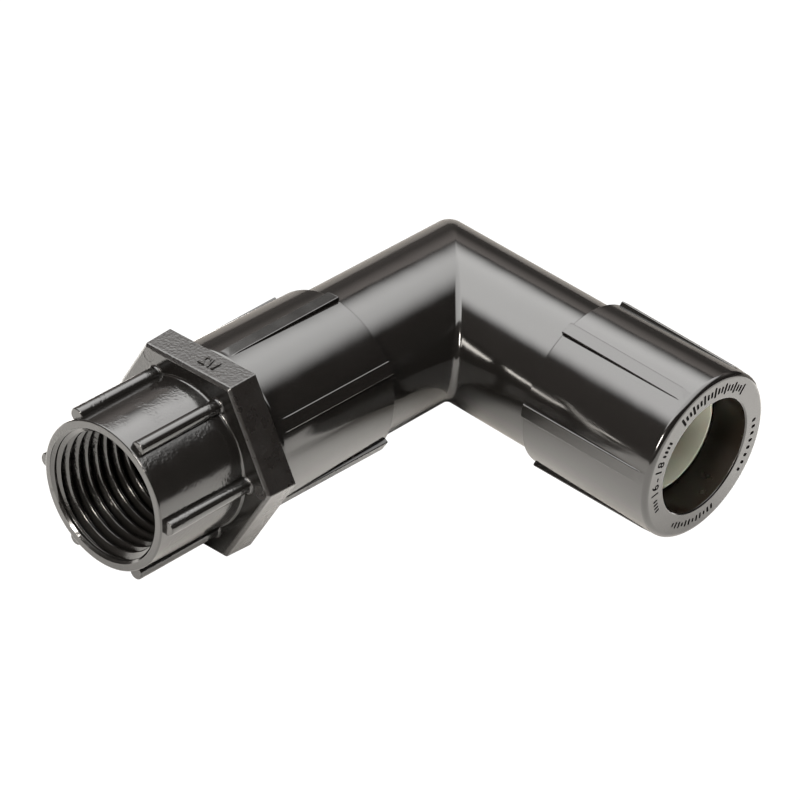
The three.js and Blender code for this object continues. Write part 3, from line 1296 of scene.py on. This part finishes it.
    def size_mark(self) -> bpy.types.Object:
        """The thread size in raised figures on the top flat, with its head towards the mouth.

        Returns:
            The mesh object.
        """
        mark = figures("1/2", self.figure_height, self.figure_rise, self.figure_bolder)
        mark.rotation_euler = (-math.pi / 2, 0, math.pi)
        mark.location = (self.figure_shift, (self.hex_across_flats - self.hex_draft) / 2, self.figure_s)
        settle(mark)
        with edit_mode(mark):
            weld()
        return mark

    def build(self, name: str, leg: Leg, corner: Vector) -> bpy.types.Object:
        """The adapter in place.

        Args:
            name: The piece's name.
            leg: The leg that it is plugged into.
            corner: Where the leg axes cross, in metres.

        Returns:
            The finished piece.
        """
        adapter = self.barrel(name)
        ribs = [number * 360 / RIB_COUNT for number in range(RIB_COUNT)]
        combine(adapter, self.hexagon(), Join.ADD)
        combine(adapter, copies_round(self.nose_rib(), ribs), Join.ADD)
        combine(adapter, PipeThread(self.mouth_s).build(), Join.CUT)
        combine(adapter, self.pins(), Join.CUT)
        combine(adapter, self.size_mark(), Join.ADD)
        with edit_mode(adapter):
            weld()
        dress(adapter, SATIN_ABS)
        finish_faces(adapter, GRAINED_ABS, self.on_hexagon)
        turn_about_leg(adapter, self.turn)
        smooth(adapter)
        leg.place(adapter, corner)
        return adapter


# ---- Studio ------------------------------------------------------------------------------------------


@dataclass
class Studio:
    """Camera, lights and floor. Places are measured from the corner of the elbow."""

    corner: Vector
    azimuth: float = math.radians(38.878)
    elevation: float = math.radians(34.933)
    roll: float = math.radians(6.124)
    aim_mm: tuple[float, float, float] = (12.66, -24.70, 1.35)
    distance_mm: float = 650.7
    lens_mm: float = 203.5
    clip: tuple[float, float] = (0.01, 50.0)  # metres
    box_height: float = 0.8  # metres above the corner
    box_far: float = 1.62  # edges of the softbox as shares of its height
    box_near: float = 0.6
    box_left: float = 1.14
    box_right: float = 1.05
    far_fade: float = 0.85  # widths of its soft edges, as shares of its height
    left_fade: float = 0.42
    right_fade: float = 0.55
    right_dimming: float = 0.62  # brightness at its right edge before the soft edge, as a share
    box_radiance: float = 8.6
    box_colour: str = "#fffefc"
    key_direction: tuple[float, float, float] = (0.15, -0.85, 0.48)
    key_distance: float = 1.2
    key_size: tuple[float, float] = (0.18, 0.34)
    key_radiance: float = 105.0
    key_colour: str = "#fff9f0"
    paper_side: float = 4.0  # metres of white paper in front of the corner and to each side
    paper_end: float = 0.02  # and behind it, where the paper ends on a darker grey sheet that is painted shade
    paper_thickness: float = 0.0005
    paper_colour: str = "#efedea"
    # The darker sheet behind the paper is painted shade on the floor there, seen only in reflections and in
    # the light it throws.
    shade_sheet_colour: str = "#67635f"
    matt_roughness: tuple[float, float] = (0.85, 0.95)
    fibre_mm: float = 1.5  # of the paper, drawn coarse
    speckle_mm: float = 3.0  # of the darker sheet under the paper
    backdrop_radius: float = 3.5
    backdrop_radiance: float = 1.1  # just over white
    surround_left: float = 0.19  # radiance of the surroundings to the camera's left and right
    surround_right: float = 0.04
    surround_span: tuple[float, float] = (-0.3, 0.5)  # over this much of the way to the right
    surround_colour: str = "#fff4ed"
    spill_radiance: float = 1.3  # of the wall behind, just under the softbox
    spill_span: tuple[float, float] = (0.3, 0.85)  # rises over this much of the way to the back
    spill_rise: tuple[float, float] = (0.2, 0.62)  # and over this much of the way up

    def directions(self) -> tuple[Vector, Vector]:
        """The level directions to the camera's right and away from it."""
        return (Vector((math.cos(self.azimuth), math.sin(self.azimuth), 0)),
                Vector((-math.sin(self.azimuth), math.cos(self.azimuth), 0)))

    def camera(self) -> None:
        """The camera, at the view's azimuth, elevation and roll."""
        level, away = self.directions()
        back = Vector((0, 0, 1)) * math.sin(self.elevation) - away * math.cos(self.elevation)
        rise = back.cross(level)
        right = math.cos(self.roll) * level + math.sin(self.roll) * rise
        up = back.cross(right)
        data = bpy.data.cameras.new("camera")
        data.lens = self.lens_mm
        data.clip_start, data.clip_end = self.clip
        camera = bpy.data.objects.new("camera", data)
        bpy.context.scene.collection.objects.link(camera)
        place = self.corner + Vector(self.aim_mm) * MM + back * self.distance_mm * MM
        camera.matrix_world = Matrix.Translation(place) @ Matrix((right, up, back)).transposed().to_4x4()
        bpy.context.scene.camera = camera

    def key_light(self) -> None:
        """A narrow upright key light in front, which the camera doesn't see."""
        toward = Vector(self.key_direction).normalized()
        data = bpy.data.lights.new("key", "AREA")
        data.shape = "RECTANGLE"
        data.size, data.size_y = self.key_size
        data.energy = self.key_radiance * math.pi * data.size * data.size_y
        data.color = linear(self.key_colour)[:3]
        lamp = bpy.data.objects.new("key", data)
        bpy.context.scene.collection.objects.link(lamp)
        turn = toward.to_track_quat("Z", "Y").to_matrix().to_4x4()
        lamp.matrix_world = Matrix.Translation(self.corner + toward * self.key_distance) @ turn
        lamp.visible_camera = False

    def sheet(self, name: str, left: float, right: float, near: float, far: float,
              height: float) -> bpy.types.Object:
        """A level sheet, square to the camera, which the camera doesn't see.

        Args:
            name: The sheet's name.
            left: How far it reaches from the corner to the camera's left, in metres.
            right: How far it reaches to the right.
            near: How far it reaches towards the camera.
            far: How far it reaches away from the camera.
            height: Its height above the corner.

        Returns:
            The sheet. Its own X and Y are to the camera's right and away from the camera.
        """
        bpy.ops.object.select_all(action="DESELECT")
        bpy.ops.mesh.primitive_plane_add(size=1.0)
        sheet = bpy.context.object
        sheet.name = name
        sheet.scale = (left + right, near + far, 1)
        settle(sheet)
        rightward, away = self.directions()
        middle = rightward * (right - left) / 2 + away * (far - near) / 2 + Vector((0, 0, height))
        turn = Matrix((rightward, away, Vector((0, 0, 1)))).transposed().to_4x4()
        sheet.matrix_world = Matrix.Translation(self.corner + middle) @ turn
        sheet.visible_camera = False
        return sheet

    def diffuser(self, width: float, depth: float) -> bpy.types.Material:
        """Lit cloth that dims to the right and fades at three of its edges.

        Args:
            width: Size of the sheet along its X, in metres.
            depth: Size along its Y.

        Returns:
            The material.
        """
        material, tree = new_material("lit_diffuser_cloth")
        spot = add_node(tree, "ShaderNodeTexCoord").outputs["Object"]
        parts = add_node(tree, "ShaderNodeSeparateXYZ", links={"Vector": spot})
        strength = add_node(tree, "ShaderNodeMapRange",
                            {"From Min": -width / 4, "From Max": width / 2, "To Min": self.box_radiance,
                             "To Max": self.box_radiance * self.right_dimming},
                            {"Value": parts.outputs["X"]}).outputs["Result"]
        fades = (  # axis, where the sheet is dark and where it is fully lit
            ("X", -width / 2, -width / 2 + self.left_fade * self.box_height),
            ("X", width / 2, width / 2 - self.right_fade * self.box_height),
            ("Y", depth / 2, depth / 2 - self.far_fade * self.box_height),
        )
        for axis, dark, lit in fades:
            fade = add_node(tree, "ShaderNodeMapRange",
                            {"interpolation_type": "SMOOTHSTEP", "From Min": min(dark, lit),
                             "From Max": max(dark, lit), "To Min": float(lit < dark),
                             "To Max": float(lit > dark)}, {"Value": parts.outputs[axis]})
            strength = add_node(tree, "ShaderNodeMath", {"operation": "MULTIPLY"},
                                {0: strength, 1: fade.outputs["Result"]}).outputs["Value"]
        glow = add_node(tree, "ShaderNodeEmission", {"Color": linear(self.box_colour)},
                        {"Strength": strength})
        add_node(tree, "ShaderNodeOutputMaterial", links={"Surface": glow.outputs["Emission"]})
        return material

    def matt(self, name: str, colour: str, grain_mm: float) -> bpy.types.Material:
        """A plain matt material.

        Args:
            name: The material's name.
            colour: sRGB hex colour.
            grain_mm: Size of the fine changes in its dullness.

        Returns:
            The material.
        """
        material, tree = new_material(name)
        place = add_node(tree, "ShaderNodeTexCoord").outputs["Object"]
        grain = add_node(tree, "ShaderNodeTexNoise", {"Scale": per_metre(grain_mm)}, {"Vector": place})
        dull = add_node(tree, "ShaderNodeMapRange",
                        {"To Min": self.matt_roughness[0], "To Max": self.matt_roughness[1]},
                        {"Value": grain.outputs["Fac"]})
        shader = add_node(tree, "ShaderNodeBsdfPrincipled", {"Base Color": linear(colour)},
                          {"Roughness": dull.outputs["Result"]})
        add_node(tree, "ShaderNodeOutputMaterial", links={"Surface": shader.outputs["BSDF"]})
        return material

    def stage(self) -> None:
        """Softbox overhead, white paper on a darker grey sheet that shows behind it as painted shade, and a
        white backdrop for the camera only.
        """
        height, side = self.box_height, self.paper_side
        softbox = self.sheet("softbox", self.box_left * height, self.box_right * height,
                             self.box_near * height, self.box_far * height, height)
        width, depth = softbox.dimensions.xy
        softbox.data.materials.append(self.diffuser(width, depth))
        floor = self.sheet("floor", side, side, side, self.paper_end, -self.corner.z)
        floor.data.materials.append(self.matt("matt_white_paper", self.paper_colour, self.fibre_mm))
        # The grey sheet that shows behind the paper's back edge is painted shade on the floor there.
        shade_sheet = self.sheet("shade_sheet", side, side, side, side, -self.corner.z - self.paper_thickness)
        shade_sheet.data.materials.append(self.matt("matt_grey_shade_sheet", self.shade_sheet_colour, self.speckle_mm))
        bpy.ops.mesh.primitive_uv_sphere_add(radius=self.backdrop_radius, segments=64, ring_count=32)
        backdrop = bpy.context.object
        backdrop.name = "backdrop"
        white, tree = new_material("lit_white_backdrop")
        glow = add_node(tree, "ShaderNodeEmission",
                        {"Color": linear("#ffffff"), "Strength": self.backdrop_radiance})
        add_node(tree, "ShaderNodeOutputMaterial", links={"Surface": glow.outputs["Emission"]})
        backdrop.data.materials.append(white)
        backdrop.visible_glossy = False
        backdrop.visible_diffuse = False
        backdrop.visible_transmission = False
        backdrop.visible_shadow = False

    def world(self) -> None:
        """Dim warm surroundings, darker to the right, with spill on the wall behind; a plain tone curve."""
        right, away = self.directions()
        world = bpy.data.worlds.new("studio")
        world.use_nodes = True
        tree = world.node_tree
        tree.nodes.clear()
        outward = add_node(tree, "ShaderNodeTexCoord").outputs["Generated"]
        to_right = add_node(tree, "ShaderNodeVectorMath", {"operation": "DOT_PRODUCT", 1: right},
                            {0: outward})
        side = add_node(tree, "ShaderNodeMapRange",
                        {"From Min": self.surround_span[0], "From Max": self.surround_span[1],
                         "To Min": self.surround_left, "To Max": self.surround_right},
                        {"Value": to_right.outputs["Value"]})
        to_back = add_node(tree, "ShaderNodeVectorMath", {"operation": "DOT_PRODUCT", 1: away},
                           {0: outward})
        behind = add_node(tree, "ShaderNodeMapRange",
                          {"interpolation_type": "SMOOTHSTEP", "From Min": self.spill_span[0],
                           "From Max": self.spill_span[1], "To Max": self.spill_radiance},
                          {"Value": to_back.outputs["Value"]})
        parts = add_node(tree, "ShaderNodeSeparateXYZ", links={"Vector": outward})
        high = add_node(tree, "ShaderNodeMapRange",
                        {"interpolation_type": "SMOOTHSTEP", "From Min": self.spill_rise[0],
                         "From Max": self.spill_rise[1]}, {"Value": parts.outputs["Z"]})
        total = add_node(tree, "ShaderNodeMath", {"operation": "MULTIPLY_ADD"},
                         {0: behind.outputs["Result"], 1: high.outputs["Result"], 2: side.outputs["Result"]})
        sky = add_node(tree, "ShaderNodeBackground", {"Color": linear(self.surround_colour)},
                       {"Strength": total.outputs["Value"]})
        add_node(tree, "ShaderNodeOutputWorld", links={"Surface": sky.outputs["Background"]})
        bpy.context.scene.world = world
        bpy.context.scene.view_settings.view_transform = "Standard"

    def build(self) -> None:
        """Everything that isn't part of the object."""
        self.camera()
        self.key_light()
        self.stage()
        self.world()


# ---- Assembly ----------------------------------------------------------------------------------------


def main() -> None:
    """Builds the studio and then every piece, in the order in which the fitting goes together."""
    body = ElbowBody()
    corner = find_corner(body.leg_radius)
    Studio(corner).build()
    enter_frame(body.build(corner), Body.ELBOW, "elbow_body")
    seal = Seal().build("tube_side_seal", TUBE_LEG, corner)
    enter_frame(seal, Body.ELBOW, "tube_end_seal")
    seal = Seal().build("adapter_side_seal", ADAPTER_LEG, corner)
    enter_frame(seal, Body.ELBOW, "adapter_end_seal")
    narrow = GripRing(tip_radius=7.8, throat_radius=7.85, funnel_radius=8.2, lip_radius=8.45, front_s=44.0,
                      cone=1.7)
    ring = narrow.build("tube_grip_ring", TUBE_LEG, corner)
    enter_frame(ring, Body.TUBE_RING, "tube_end_grip_ring")
    ring = GripRing(tip_radius=8.15).build("adapter_grip_ring", ADAPTER_LEG, corner)
    enter_frame(ring, Body.ADAPTER_RING, "adapter_end_grip_ring")
    collar = Collar(first_rib=53).build("tube_collar", TUBE_LEG, corner, FaceMarks())
    enter_frame(collar, Body.ELBOW, "tube_end_collar")
    collar = Collar(first_rib=31.6).build("adapter_collar", ADAPTER_LEG, corner)
    enter_frame(collar, Body.ELBOW, "adapter_end_collar")
    adapter = ThreadedAdapter().build("half_inch_adapter", ADAPTER_LEG, corner)
    enter_frame(adapter, Body.ADAPTER, "threaded_adapter")


if __name__ == "__main__":
    main()
